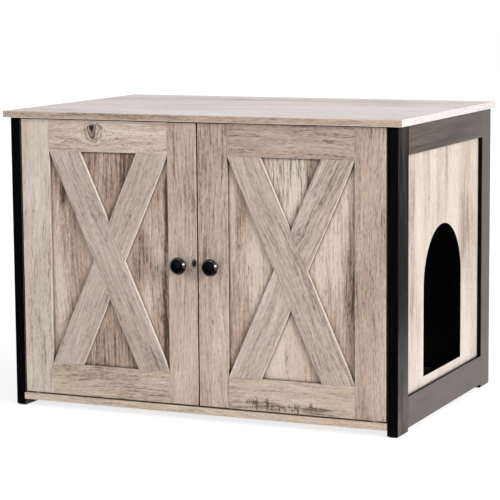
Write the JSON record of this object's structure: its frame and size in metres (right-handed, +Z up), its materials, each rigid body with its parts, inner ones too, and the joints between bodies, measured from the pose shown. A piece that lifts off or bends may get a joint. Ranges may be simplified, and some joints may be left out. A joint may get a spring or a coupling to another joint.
{
  "type": "cat litter box cabinet",
  "caption": "Low cabinet that hides a cat litter box: dark side frames, wood-look boards, X-braced doors on hidden pivots and an arched side doorway.",
  "frame": {"origin": "floor level, at the middle of the footprint with the knobs included", "axes": "+X to the right seen from the front, +Y towards the back, doors face -Y, +Z up"},
  "size_m": [0.77, 0.537, 0.545],
  "materials": {
    "top_laminate": "matt wood-look laminate, pale grey",
    "oak_laminate": "matt weathered oak laminate, greyed, with knots",
    "brace_laminate": "matt weathered oak laminate, greyer",
    "black_frame": "black wood-grain laminate, satin",
    "black_back": "thin black board, matt",
    "black_knob": "gloss black",
    "zinc_steel": "zinc plated",
    "magnet": "dark grey ferrite",
    "black_plastic": "moulded, matt",
    "black_felt": "pressed felt",
    "white_nylon": "nylon",
    "beech_dowel": "raw beech, fluted"
  },
  "bodies": {
    "carcass": {"top_board": "top_laminate", "bottom_board": "oak_laminate", "back_board": "black_back", "foot_pads": "black_felt", "left_front_post": "black_frame", "left_back_post": "black_frame", "left_top_rail": "black_frame", "left_bottom_rail": "black_frame", "left_side_panel": "oak_laminate", "left_bottom_frame_leaf": "zinc_steel", "left_top_frame_leaf": "zinc_steel", "right_front_post": "black_frame", "right_back_post": "black_frame", "right_top_rail": "black_frame", "right_bottom_rail": "black_frame", "right_side_panel": "oak_laminate", "right_bottom_frame_leaf": "zinc_steel", "right_top_frame_leaf": "zinc_steel", "pivot_pins": "zinc_steel", "pivot_washers": "white_nylon", "frame_leaf_screws": "zinc_steel", "catch_case": "black_plastic", "catch_magnets": "magnet", "catch_screws": "zinc_steel", "rail_dowels": "beech_dowel", "panel_dowels": "beech_dowel", "board_dowels": "beech_dowel", "cam_locks": "zinc_steel", "cam_bolts": "zinc_steel"},
    "left_door": {"left_door_board": "oak_laminate", "left_hinge_stile": "oak_laminate", "left_meeting_stile": "oak_laminate", "left_door_top_rail": "oak_laminate", "left_door_bottom_rail": "oak_laminate", "left_long_brace": "brace_laminate", "left_upper_half_brace": "brace_laminate", "left_lower_half_brace": "brace_laminate", "left_knob": "black_knob", "left_knob_screw": "zinc_steel", "left_strike_plate": "zinc_steel", "left_strike_screw": "zinc_steel", "left_door_leaf_screws": "zinc_steel", "left_bottom_door_leaf": "zinc_steel", "left_top_door_leaf": "zinc_steel"},
    "right_door": {"right_door_board": "oak_laminate", "right_hinge_stile": "oak_laminate", "right_meeting_stile": "oak_laminate", "right_door_top_rail": "oak_laminate", "right_door_bottom_rail": "oak_laminate", "right_long_brace": "brace_laminate", "right_upper_half_brace": "brace_laminate", "right_lower_half_brace": "brace_laminate", "right_knob": "black_knob", "right_knob_screw": "zinc_steel", "right_strike_plate": "zinc_steel", "right_strike_screw": "zinc_steel", "right_door_leaf_screws": "zinc_steel", "right_bottom_door_leaf": "zinc_steel", "right_top_door_leaf": "zinc_steel"}
  },
  "joints": [
    {"name": "left_door_hinge", "type": "hinge", "parent": "carcass", "child": "left_door", "pos_m": [-0.331, -0.2355, 0.279], "axis": [0, 0, -1], "range_deg": [0, 140]},
    {"name": "right_door_hinge", "type": "hinge", "parent": "carcass", "child": "right_door", "pos_m": [0.331, -0.2355, 0.279], "axis": [0, 0, 1], "range_deg": [0, 140]}
  ]
}
